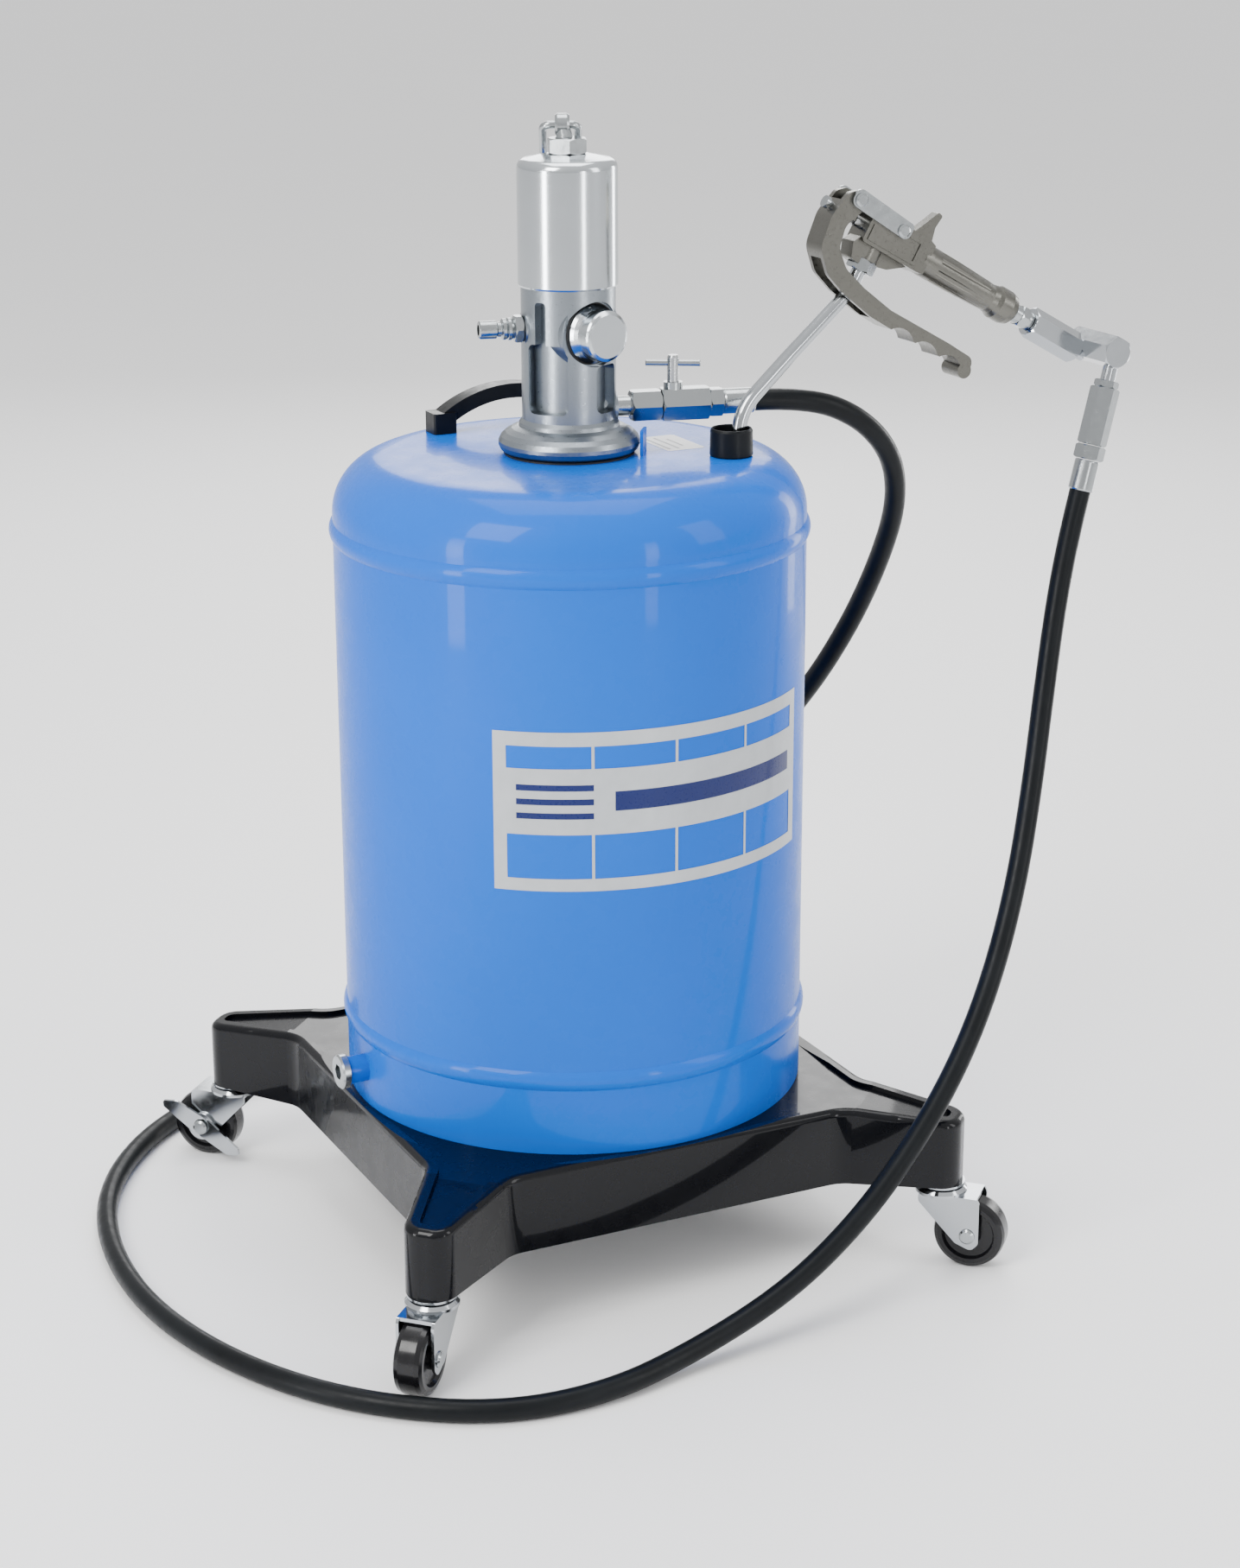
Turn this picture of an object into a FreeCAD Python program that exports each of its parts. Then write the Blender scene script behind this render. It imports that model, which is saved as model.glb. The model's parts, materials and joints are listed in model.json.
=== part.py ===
"""Air-driven gear oil pump: a 30 litre drum on a four-castor base, with a hose and a delivery gun.

Millimetres, +Z up. The origin is on the floor under the drum's axis, and -Y is the drum's front.
Each sub-part is written to parts/NODE.step in this one frame.
"""
import FreeCAD, Part
import math
import os

V = FreeCAD.Vector

# ---- driving dimensions -------------------------------------------------------------
DECK_Z = 112.0            # top of the base, where the drum stands
BASE_SIDE = 166.0         # half the base's square
BASE_BOTTOM = 60.0        # lower edge of the base's skirt
ARM_ROOT, ARM_TIP = 205.0, 284.0          # an arm's start and end, from the drum's axis
ARM_ROOT_HALF, ARM_TIP_HALF = 30.0, 15.0  # half the arm's width there
SHEET = 2.5               # pressed sheet of the base
BEAD_TOP = 3.0            # height of the base's edge bead over the deck
BEAD_WIDE, BEAD_EDGE = 9.0, 5.0           # its width, and the radius of its outer edge
ARM_FALL_R, ARM_DROP = 214.0, 6.5         # where the arms start to fall, and how far they do

CASTOR_RADIUS = 270.0     # swivel axis from the drum's axis
CASTOR_ANGLES = (-45.0, 45.0, 135.0, -135.0)
BRAKED_CASTOR = 4
WHEEL_R, WHEEL_W = 25.0, 20.0
TRAIL = 22.0              # axle behind the swivel axis
RUNNING = 0.05            # radial clearance of a turning or sliding fit

DRUM_R, DRUM_WALL = 160.0, 1.5
LOWER_SEAM, UPPER_SEAM = DECK_Z + 59.0, DECK_Z + 386.4
BEAD_H, BEAD_PROUD = 13.6, 2.6
DRUM_TOP = DECK_Z + 442.0
SHOULDER_R = 38.0

FLANGE_TOP = DRUM_TOP + 19.0
CYLINDER_Z, CYLINDER_TOP = DRUM_TOP + 112.0, DRUM_TOP + 200.0
BODY_R, CORE_R = 31.5, 24.5
CYLINDER_R, BORE_R = 33.25, 30.05
PISTON_STROKE = 55.0
ROD_R, PLUNGER_R, TUBE_R = 7.0, 12.5, 17.0
TUBE_BOTTOM = DECK_Z + 23.0

SPOOL_Z, SPOOL_ANGLE = 637.0, 12.0
PLUG_Z, PLUG_ANGLE = 638.5, -101.5
OUTLET_Z, OUTLET_ANGLE = 583.5, 77.0
VIEW_ANGLE = 65.0         # direction of the lifting ring's bar

HOLDER_X, HOLDER_Y = 91.4, -59.4
GUN_X, GUN_Z, GUN_SLOPE = 142.05, 564.25, 29.15   # gun axis start, from the holder and the deck
GUN_WIDE = 21.0           # finger lever's width

HOSE_R = 7.5
# The hose from the outlet round the back, along the floor past the front, and up to the gun.
HOSE_ROUTE = (
    (124.2, -28.7, 583.5), (162, -37.4, 583.5), (204, -37, 566), (236, -27, 535), (252, -8, 495),
    (254, 18, 447), (247, 46, 394), (233, 80, 338), (211, 122, 282), (180, 170, 222),
    (138, 220, 156), (90, 264, 92), (34, 296, 36), (-38, 312, 7.6), (-118, 306, 7.6),
    (-194, 276, 7.6), (-260, 222, 7.6), (-308, 146, 7.6), (-331, 57, 7.6), (-332, -40, 7.6),
    (-306, -134, 7.6), (-257, -213, 7.6), (-184, -267, 7.6), (-108, -275, 7.6), (-35, -257, 12),
    (40, -246, 33), (100, -234, 66), (148, -222, 106), (192, -206, 150), (230, -185, 198),
    (263, -161, 254), (289, -137, 314), (310, -116, 376), (327, -101, 432), (341.3, -92, 477),
    (351, -90, 510.5),
)


# ---- helpers --------------------------------------------------------------------------
def polar(radius, angle, z=0.0):
    """A point at an angle measured from -Y towards +X."""
    turn = math.radians(angle)
    return V(radius * math.sin(turn), -radius * math.cos(turn), z)


def cyl(radius, z0, z1, x=0.0, y=0.0):
    return Part.makeCylinder(radius, z1 - z0, V(x, y, z0))


def ring(outer, inner, z0, z1):
    return cyl(outer, z0, z1).cut(cyl(inner, z0 - 1, z1 + 1))


def box(x0, x1, y0, y1, z0, z1):
    return Part.makeBox(x1 - x0, y1 - y0, z1 - z0, V(x0, y0, z0))


def hexagon(flats, z0, z1, chamfer=0.8, turn=0.0):
    """A hexagonal bar along Z with its corners turned down at both ends."""
    reach = flats / math.sqrt(3.0)
    corners = [V(reach * math.cos(math.radians(60 * k + turn)),
                 reach * math.sin(math.radians(60 * k + turn)), z0) for k in range(7)]
    bar = Part.Face(Part.makePolygon(corners)).extrude(V(0, 0, z1 - z0))
    low, high = flats / 2.0, reach + 0.2
    rise = (high - low) * chamfer
    turned = revolve([(0, z0), (low, z0), (high, z0 + rise), (high, z1 - rise), (low, z1), (0, z1)])
    return bar.common(turned)


def revolve(points):
    """A solid turned about Z from (radius, z) points."""
    wire = Part.makePolygon([V(r, 0, z) for r, z in points] + [V(points[0][0], 0, points[0][1])])
    return Part.Face(wire).revolve(V(0, 0, 0), V(0, 0, 1), 360)


def along(shape, origin, direction, up=None):
    """Moves a shape whose length is along Z so that Z points in the given direction."""
    z = V(direction).normalize()
    x = V(up).cross(z) if up is not None else V(0, 0, 1).cross(z)
    if x.Length < 1e-6:
        x = V(1, 0, 0)
    x.normalize()
    y = z.cross(x)
    placed = shape.copy()
    move = FreeCAD.Placement(
        FreeCAD.Matrix(x.x, y.x, z.x, origin.x, x.y, y.y, z.y, origin.y, x.z, y.z, z.z, origin.z))
    placed.Placement = move.multiply(placed.Placement)
    return placed


def corner(before, point, after, radius):
    """The tangent arc that rounds a corner: its start, middle and end."""
    a, b = (before - point).normalize(), (after - point).normalize()
    half = a.getAngle(b) / 2.0
    reach = radius / math.tan(half)
    middle = (a + b).normalize()
    inside = point + middle * (radius / math.sin(half))
    return point + a * reach, inside - middle * radius, point + b * reach


def rounded_outline(points, radii):
    """A closed wire of straight runs with a tangent arc at each corner."""
    count = len(points)
    arcs = [corner(points[i - 1], points[i], points[(i + 1) % count], radii[i]) for i in range(count)]
    edges = []
    for i, (start, middle, end) in enumerate(arcs):
        edges.append(Part.Arc(start, middle, end).toShape())
        following = arcs[(i + 1) % count][0]
        if (following - end).Length > 1e-4:
            edges.append(Part.LineSegment(end, following).toShape())
    return Part.Wire(edges)


def plate(points, radii, y0, y1):
    """An outline in the XZ plane, made solid from y0 to y1."""
    wire = rounded_outline([V(x, y0, z) for x, z in points], radii)
    return Part.Face(wire).extrude(V(0, y1 - y0, 0))


def swept_path(points, factor):
    """Straight runs joined by tangent arcs, with the arcs' radii."""
    runs = [(points[i + 1] - points[i]).Length for i in range(len(points) - 1)]
    edges, radii, place = [], [], points[0]
    for i in range(1, len(points) - 1):
        turn = (points[i] - points[i - 1]).getAngle(points[i + 1] - points[i])
        radius = factor * min(runs[i - 1], runs[i]) / math.tan(turn / 2.0)
        start, middle, end = corner(points[i - 1], points[i], points[i + 1], radius)
        edges.append(Part.LineSegment(place, start).toShape())
        edges.append(Part.Arc(start, middle, end).toShape())
        radii.append(radius)
        place = end
    edges.append(Part.LineSegment(place, points[-1]).toShape())
    return Part.Wire(edges), radii


def tube_along(wire, radius):
    start = wire.Edges[0].Vertexes[0].Point
    direction = wire.Edges[0].tangentAt(wire.Edges[0].FirstParameter)
    section = Part.Wire([Part.makeCircle(radius, start, direction)])
    return wire.makePipeShell([section], True, False)


def castor_frame(shape, angle):
    """Puts a castor piece, made with X radially outward, at its swivel axis."""
    placed = shape.copy()
    at = polar(CASTOR_RADIUS, angle)
    move = FreeCAD.Placement(at, FreeCAD.Rotation(V(0, 0, 1), angle - 90.0))
    placed.Placement = move.multiply(placed.Placement)
    return placed


def gun_frame(shape):
    """Puts a gun piece, made with X along the gun's axis and Z across it, in its holder."""
    placed = shape.copy()
    at = V(HOLDER_X + GUN_X, HOLDER_Y, DECK_Z + GUN_Z)
    move = FreeCAD.Placement(at, FreeCAD.Rotation(V(0, 1, 0), GUN_SLOPE))
    placed.Placement = move.multiply(placed.Placement)
    return placed


def gun_point(u, v, y=0.0):
    slope = math.radians(GUN_SLOPE)
    return V(HOLDER_X + GUN_X + u * math.cos(slope) + v * math.sin(slope), HOLDER_Y + y,
             DECK_Z + GUN_Z - u * math.sin(slope) + v * math.cos(slope))


# ---- rolling base ---------------------------------------------------------------------
def star(inset, z0, z1):
    """The base's outline, a square with four tapering arms, drawn in by an inset."""
    half_root, half_tip = ARM_ROOT_HALF - inset, max(ARM_TIP_HALF - inset, 4.5)
    root, tip = ARM_ROOT - 0.4 * inset, ARM_TIP - inset
    arm = ((root, half_root), (tip, half_tip), (tip, -half_tip), (root, -half_root))
    points, radii = [], []
    for quarter in range(4):
        out = math.radians(-45 + 90 * quarter)
        for reach, aside in arm:
            x = reach * math.sin(out) + aside * math.cos(out) * -1
            y = -reach * math.cos(out) + aside * math.sin(out) * -1
            points.append(V(x, y, z0))
        radii += [25.0, 0.95 * half_tip, 0.95 * half_tip, 25.0]
    return Part.Face(rounded_outline(points, radii)).extrude(V(0, 0, z1 - z0))


def flat_frame():
    """The pressing before its arms are bent down, with a longer skirt."""
    foot = BASE_BOTTOM - 20
    shell = star(0.0, foot, DECK_Z + BEAD_TOP)
    top_edges = [e for e in shell.Edges
                 if all(abs(v.Z - DECK_Z - BEAD_TOP) < 0.01 for v in e.Vertexes)]
    shell = shell.makeFillet(BEAD_EDGE, top_edges)
    inside = star(BEAD_WIDE, DECK_Z, DECK_Z + 10)
    fade = revolve([(0, DECK_Z), (DRUM_R + 3, DECK_Z), (DRUM_R + 27, DECK_Z + 4),
                    (DRUM_R + 27, DECK_Z + 5), (0, DECK_Z + 5)])
    hollow = star(SHEET, foot - 1, DECK_Z - SHEET)
    return shell.cut(inside).cut(fade).cut(hollow)


def base_frame():
    flat = flat_frame()
    bounds = box(-320, 320, -320, 320, BASE_BOTTOM, DECK_Z + 20)
    far = box(ARM_FALL_R, 320, -120, 120, BASE_BOTTOM - 40, DECK_Z + 20)
    slope = ARM_DROP / (CASTOR_RADIUS + 14 - ARM_FALL_R)
    middle, arms = flat, []
    for angle in CASTOR_ANGLES:
        beyond = far.copy()
        beyond.rotate(V(0, 0, 0), V(0, 0, 1), angle - 90.0)
        middle = middle.cut(beyond)
        out = polar(1, angle)
        bend = FreeCAD.Matrix(1, 0, 0, 0, 0, 1, 0, 0,
                              -slope * out.x, -slope * out.y, 1, slope * ARM_FALL_R)
        arms.append(flat.common(beyond).transformGeometry(bend))
    shell = middle.multiFuse(arms).common(bounds)
    top = DECK_Z - ARM_DROP - 0.2
    bosses = [cyl(13.0, BASE_BOTTOM, top, *polar(CASTOR_RADIUS, a)[:2]) for a in CASTOR_ANGLES]
    shell = shell.multiFuse(bosses)
    for angle in CASTOR_ANGLES:
        at = polar(CASTOR_RADIUS, angle)
        shell = shell.cut(cyl(5.0, BASE_BOTTOM - 1, BASE_BOTTOM + 20, at.x, at.y))
    return shell.removeSplitter()


def castor_stem():
    """Threaded stem with the upper ball race and the kingpin that the fork turns on."""
    return revolve([(0, 47.6), (6, 47.6), (6, 50.2), (4, 50.2), (4, 57), (15, 57), (16.5, 58.5),
                    (16.5, BASE_BOTTOM), (5, BASE_BOTTOM), (5, 78), (4, 79.5), (0, 79.5)])


def castor_fork():
    race = revolve([(4 + RUNNING, 50.5), (13, 50.5), (18, 52.5), (18, 54.5), (16, 56.7),
                    (4 + RUNNING, 56.7)])
    cheek_out = WHEEL_W / 2 + 3.2
    bridge = box(-13, TRAIL + 6, -cheek_out, cheek_out, 51.0, 53.5)
    outline = [(-13, 53.5), (-13, 47), (TRAIL - 8.4, 19.0), (TRAIL + 3.0, 14.5), (TRAIL + 8, 20),
               (TRAIL + 8, 50), (TRAIL + 6, 53.5)]
    radii = [1.0, 4, 6.0, 4.5, 4.5, 5, 1.0]
    cheeks = [plate(outline, radii, y, y + 2.0) for y in (-cheek_out, cheek_out - 2.0)]
    fork = bridge.multiFuse([race] + cheeks).cut(cyl(4 + RUNNING, 45, 60))
    return fork.cut(along(cyl(4, -30, 30), V(TRAIL, 0, WHEEL_R), V(0, 1, 0))).removeSplitter()


def castor_axle(braked):
    """A rivet through both cheeks; the braked one is longer on the lever's side."""
    near = WHEEL_W / 2 + (7.0 if braked else 3.2)
    far = WHEEL_W / 2 + 3.2
    rivet = revolve([(0, -far - 2), (4, -far - 2), (5.5, -far - 0.8), (5.5, -far), (4, -far),
                     (4, near), (5.5, near), (5.5, near + 0.8), (4, near + 2), (0, near + 2)])
    return along(rivet, V(TRAIL, 0, WHEEL_R), V(0, 1, 0))


def castor_wheel():
    w, r = WHEEL_W / 2, WHEEL_R
    profile = [(4 + RUNNING, -w - 0.6), (7.5, -w - 0.6), (7.5, -w + 2.5), (17, -w + 2.5),
               (18.5, -w), (r - 3.5, -w), (r - 1, -w + 1.4), (r, -w + 4.5), (r, w - 4.5),
               (r - 1, w - 1.4), (r - 3.5, w), (18.5, w), (17, w - 2.5), (7.5, w - 2.5),
               (7.5, w + 0.6), (4 + RUNNING, w + 0.6)]
    return along(revolve(profile), V(TRAIL, 0, WHEEL_R), V(0, 1, 0))


def brake_lever():
    """Two pressed wings on the axle, outside the fork, leaning out at their ends."""
    y0 = WHEEL_W / 2 + 3.5
    hub = along(cyl(10.5, y0, y0 + 2.0), V(0, 0, 0), V(0, 1, 0))
    wings = []
    for lean, length in ((34.0, 35.0), (204.0, 38.0)):
        wing = plate([(2, 7.5), (length - 9, 7.0), (length, 1.0), (length - 3, -3.0), (2, -8.0)],
                     [1.0, 6.0, 1.6, 2.0, 1.0], 0, 2.0)
        wing.rotate(V(0, 0, 0), V(0, 0, 1), 10)
        wing.translate(V(0, y0, 0))
        wing.rotate(V(0, 0, 0), V(0, 1, 0), -lean)
        wings.append(wing)
    lever = hub.multiFuse(wings)
    slab = box(-60, 60, y0, y0 + 12, -60, 60)
    lever = lever.common(slab).cut(along(cyl(4 + RUNNING, 0, 40), V(0, 0, 0), V(0, 1, 0)))
    lever.translate(V(TRAIL, 0, WHEEL_R))
    return lever.removeSplitter()


def make_base(nodes):
    nodes["base_frame"] = base_frame()
    nodes["castor_stems"] = Part.makeCompound([castor_frame(castor_stem(), a) for a in CASTOR_ANGLES])
    for number, angle in enumerate(CASTOR_ANGLES, 1):
        nodes["castor_fork_%d" % number] = castor_frame(castor_fork(), angle)
        nodes["castor_axle_%d" % number] = castor_frame(castor_axle(number == BRAKED_CASTOR), angle)
        nodes["castor_wheel_%d" % number] = castor_frame(castor_wheel(), angle)
    nodes["brake_lever"] = castor_frame(brake_lever(), CASTOR_ANGLES[BRAKED_CASTOR - 1])


# ---- drum -----------------------------------------------------------------------------
def drum_ring(z0, z1, bead_z=None):
    """A length of drum wall, with a rolled bead that stands proud."""
    outer, inner = DRUM_R, DRUM_R - DRUM_WALL
    wall = ring(outer, inner, z0, z1)
    if bead_z is None:
        return wall
    middle, half = bead_z + BEAD_H / 2, BEAD_H / 2
    bead = Part.Face(Part.Wire([
        Part.Arc(V(outer - 0.2, 0, middle - half), V(outer + BEAD_PROUD, 0, middle),
                 V(outer - 0.2, 0, middle + half)).toShape(),
        Part.LineSegment(V(outer - 0.2, 0, middle + half), V(inner, 0, middle + half)).toShape(),
        Part.LineSegment(V(inner, 0, middle + half), V(inner, 0, middle - half)).toShape(),
        Part.LineSegment(V(inner, 0, middle - half), V(outer - 0.2, 0, middle - half)).toShape(),
    ])).revolve(V(0, 0, 0), V(0, 0, 1), 360)
    return wall.fuse(bead)


def drum_top():
    outer, inner = DRUM_R, DRUM_R - DRUM_WALL
    lip, turn = outer - SHOULDER_R, SHOULDER_R * (1 - math.sqrt(0.5))
    thin = SHOULDER_R - DRUM_WALL
    base, top = UPPER_SEAM + 1.0, DRUM_TOP
    hole = 24.0
    profile = Part.Wire([
        Part.LineSegment(V(outer, 0, base), V(outer, 0, top - SHOULDER_R)).toShape(),
        Part.Arc(V(outer, 0, top - SHOULDER_R), V(outer - turn, 0, top - turn), V(lip, 0, top)).toShape(),
        Part.LineSegment(V(lip, 0, top), V(hole, 0, top)).toShape(),
        Part.LineSegment(V(hole, 0, top), V(hole, 0, top - DRUM_WALL)).toShape(),
        Part.LineSegment(V(hole, 0, top - DRUM_WALL), V(lip, 0, top - DRUM_WALL)).toShape(),
        Part.Arc(V(lip, 0, top - DRUM_WALL),
                 V(lip + thin * math.sqrt(0.5), 0, top - SHOULDER_R + thin * math.sqrt(0.5)),
                 V(inner, 0, top - SHOULDER_R)).toShape(),
        Part.LineSegment(V(inner, 0, top - SHOULDER_R), V(inner, 0, base)).toShape(),
        Part.LineSegment(V(inner, 0, base), V(outer, 0, base)).toShape(),
    ])
    cap = Part.Face(profile).revolve(V(0, 0, 0), V(0, 0, 1), 360)
    cap = cap.fuse(drum_ring(UPPER_SEAM, UPPER_SEAM + BEAD_H, UPPER_SEAM))
    tab = box(49.2, 51.2, -8, 8, top - 0.5, top + 17)
    tab.rotate(V(0, 0, 0), V(0, 0, 1), -35)
    return cap.fuse(tab).removeSplitter()


def drum_bottom():
    skirt = drum_ring(DECK_Z, LOWER_SEAM, LOWER_SEAM - BEAD_H)
    floor_z = DECK_Z + 6.0
    return skirt.fuse(cyl(DRUM_R - DRUM_WALL / 2, floor_z, floor_z + DRUM_WALL)).removeSplitter()


def make_drum(nodes):
    drain_z = DECK_Z + 25.0
    outlet = along(cyl(9.5, 0, 14.0).cut(cyl(6.0, -5, 20)), V(-DRUM_R + 1, 0, drain_z), V(-1, 0, 0))
    drain_hole = along(cyl(6.0, 0, 30.0), V(-DRUM_R + 15, 0, drain_z), V(-1, 0, 0))
    nodes["drum_bottom"] = drum_bottom().cut(drain_hole)
    nodes["drum_shell"] = drum_ring(LOWER_SEAM, UPPER_SEAM)
    nodes["drum_top"] = drum_top()
    nodes["drain_socket"] = outlet.cut(cyl(DRUM_R, drain_z - 20, drain_z + 20))
    plug = revolve([(0, -8), (5.9, -8), (5.9, 0.1), (11.2, 0.1), (12, 1.0), (12, 5.2), (11, 6.4), (0, 6.4)])
    plug = plug.cut(hexagon(10.0, 1.5, 8.0, 0.0))
    nodes["drain_plug"] = along(plug, V(-DRUM_R - 13.0, 0, drain_z), V(-1, 0, 0))
    nodes["carry_handle"] = carry_handle()
    nodes["gun_holder"] = gun_holder()


def carry_handle():
    """A low moulded bail behind the pump: two square feet and an arched grip."""
    y, foot_x, top = 100.0, 51.0, DRUM_TOP
    sagitta, thick, deep = 17.0, 10.0, 15.0
    spring_z = top + 9.0
    radius = (foot_x ** 2 + sagitta ** 2) / (2 * sagitta)
    low, high = radius - thick / 2, radius + thick / 2
    centre = spring_z + sagitta - radius
    arch = along(ring(high, low, -deep / 2, deep / 2), V(0, y, centre), V(0, 1, 0))
    arch = arch.common(box(-foot_x - 3, foot_x + 3, y - 20, y + 20, spring_z - 4, spring_z + 60))
    feet = []
    for x in (-foot_x, foot_x):
        foot = box(x - 8.5, x + 8.5, y - 9, y + 9, top, top + 14.5)
        upright = [e for e in foot.Edges if abs(e.tangentAt(e.FirstParameter).z) > 0.99]
        feet.append(foot.makeFillet(2.0, upright))
    return arch.multiFuse(feet).removeSplitter()


def gun_holder():
    """A rubber cup that the gun's nozzle stands in."""
    cup = revolve([(0, 0.1), (13.9, 0.1), (14.5, 1), (14.2, 17.2), (13.4, 18.6), (12.4, 18.6),
                   (12, 18), (12, 3), (0, 3)])
    cup.translate(V(HOLDER_X, HOLDER_Y, DRUM_TOP))
    return cup


# ---- pump -----------------------------------------------------------------------------
def wall_pocket(a0, a1, z0, z1, radius):
    """A round-cornered pocket in the body's wall, between two angles measured from -Y."""
    half = 28.0 * math.sin(math.radians(a1 - a0) / 2)
    cutter = plate([(-half, z0), (half, z0), (half, z1), (-half, z1)], [radius] * 4, -45, 0)
    cutter.rotate(V(0, 0, 0), V(0, 0, 1), (a0 + a1) / 2)
    return cutter.cut(cyl(CORE_R, z0 - 1, z1 + 1))


def pump_body():
    body = cyl(BODY_R, FLANGE_TOP, CYLINDER_Z)
    body = body.fuse(revolve([(0, FLANGE_TOP), (34.0, FLANGE_TOP), (33.4, FLANGE_TOP + 2.5),
                              (31.5, FLANGE_TOP + 5), (0, FLANGE_TOP + 5)]))
    low, high = FLANGE_TOP + 11.0, CYLINDER_Z - 8.0
    pockets = ((-86, -22, low, low + 46, 5), (8, 52, low, low + 32, 5), (104, 146, low, low + 42, 5),
               (158, 202, low, low + 42, 5), (-70, -52, low + 30, high, 3),
               (108, 142, low + 50, high, 4), (162, 198, low + 50, high, 4))
    for a0, a1, z0, z1, radius in pockets:
        body = body.cut(wall_pocket(a0, a1, z0, z1, radius))
    spool_axis, plug_axis, outlet_axis = (polar(1, a) for a in (SPOOL_ANGLE, PLUG_ANGLE, OUTLET_ANGLE))
    spool_at, plug_at, outlet_at = V(0, 0, SPOOL_Z), V(0, 0, PLUG_Z), V(0, 0, OUTLET_Z)
    body = body.fuse(along(cyl(24.0, 8, 25.0), spool_at, spool_axis))
    body = body.fuse(along(cyl(11.0, 8, 31.0), plug_at, plug_axis))
    body = body.fuse(along(cyl(11.5, 8, 31.5), outlet_at, outlet_axis))
    body = body.cut(along(cyl(21.5, 25.0, 40.0), spool_at, spool_axis))
    body = body.cut(along(cyl(10.0, 31.5, 40.0), outlet_at, outlet_axis))
    body = body.cut(cyl(80.0, FLANGE_TOP - 10, FLANGE_TOP))
    body = body.fuse(cyl(29.9, CYLINDER_Z - 1, CYLINDER_Z + 5))
    body = body.cut(cyl(ROD_R + RUNNING, FLANGE_TOP - 1, CYLINDER_Z + 6))
    body = body.cut(along(cyl(7.0 + RUNNING, 9.0, 30.0), spool_at, spool_axis))
    body = body.cut(along(cyl(6.0, 16.0, 40.0), plug_at, plug_axis))
    body = body.cut(along(cyl(6.0, 16.0, 40.0), outlet_at, outlet_axis))
    return body.removeSplitter()


def air_cylinder():
    """Drawn aluminium cylinder with a domed end and a threaded hole for the eye bolt."""
    r, z0, z1 = CYLINDER_R, CYLINDER_Z, CYLINDER_TOP
    rim, knee, dome = 6.5, 6.5 * (1 - math.sqrt(0.5)), 5.0
    flat = 14.5
    rim_z = z1 - dome
    crown = [
        Part.LineSegment(V(BORE_R, 0, z0), V(r - 0.6, 0, z0)).toShape(),
        Part.LineSegment(V(r - 0.6, 0, z0), V(r, 0, z0 + 1.2)).toShape(),
        Part.LineSegment(V(r, 0, z0 + 1.2), V(r, 0, rim_z - rim)).toShape(),
        Part.Arc(V(r, 0, rim_z - rim), V(r - knee, 0, rim_z - knee), V(r - rim, 0, rim_z)).toShape(),
        Part.Arc(V(r - rim, 0, rim_z), V(20.8, 0, z1 - 3.6), V(flat, 0, z1 - 2.5)).toShape(),
        Part.LineSegment(V(flat, 0, z1 - 2.5), V(5, 0, z1 - 2.5)).toShape(),
        Part.LineSegment(V(5, 0, z1 - 2.5), V(5, 0, z1 - 12)).toShape(),
        Part.LineSegment(V(5, 0, z1 - 12), V(BORE_R, 0, z1 - 12)).toShape(),
        Part.LineSegment(V(BORE_R, 0, z1 - 12), V(BORE_R, 0, z0)).toShape(),
    ]
    return Part.Face(Part.Wire(crown)).revolve(V(0, 0, 0), V(0, 0, 1), 360)


RING_BACK, RING_Z, RING_ROD = 9.0, CYLINDER_TOP + 15.0, 2.65
RING_REST = -38.5         # slope of the ring as it leans on the cylinder's rear rim


def ring_axes():
    side = polar(1, VIEW_ANGLE)
    return side, V(-side.y, side.x, 0)


def eye_bolt():
    side, back = ring_axes()
    head = hexagon(24.0, CYLINDER_TOP - 2.4, CYLINDER_TOP + 7.6, 0.6, 12.0)
    stem = cyl(5.0, CYLINDER_TOP - 11.0, CYLINDER_TOP - 2)
    centre = back * RING_BACK - side * 3.0 + V(0, 0, RING_Z)
    eye = revolve([(0, -4.8), (6.2, -4.8), (7.4, -3.2), (7.4, 3.2), (6.2, 4.8), (0, 4.8)])
    eye = along(eye, centre, side)
    waist_low = V(centre.x * 0.35, centre.y * 0.35, CYLINDER_TOP + 5)
    waist = Part.makeCone(5.6, 4.5, (centre - waist_low).Length, waist_low, centre - waist_low)
    bolt = head.fuse(stem).fuse(waist).fuse(eye)
    return bolt.cut(along(cyl(RING_ROD + 0.4, -20, 20), centre, side))


def lifting_ring():
    """A round-cornered bail through the eye, leaning back over the cylinder's rim."""
    side, back = ring_axes()
    slope = math.radians(RING_REST)
    down = back * math.cos(slope) + V(0, 0, math.sin(slope))
    centre = back * RING_BACK - side * 4.2 + V(0, 0, RING_Z)
    half, reach = 11.5, 50.0
    corners = [centre, centre + side * half, centre + side * half + down * reach,
               centre - side * half + down * reach, centre - side * half, centre]
    radius = 5.0
    edges, place = [], corners[0]
    for i in range(1, 5):
        start, middle, end = corner(corners[i - 1], corners[i], corners[i + 1], radius)
        edges += [Part.LineSegment(place, start).toShape(), Part.Arc(start, middle, end).toShape()]
        place = end
    edges.append(Part.LineSegment(place, corners[5]).toShape())
    return tube_along(Part.Wire(edges), RING_ROD)


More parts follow.
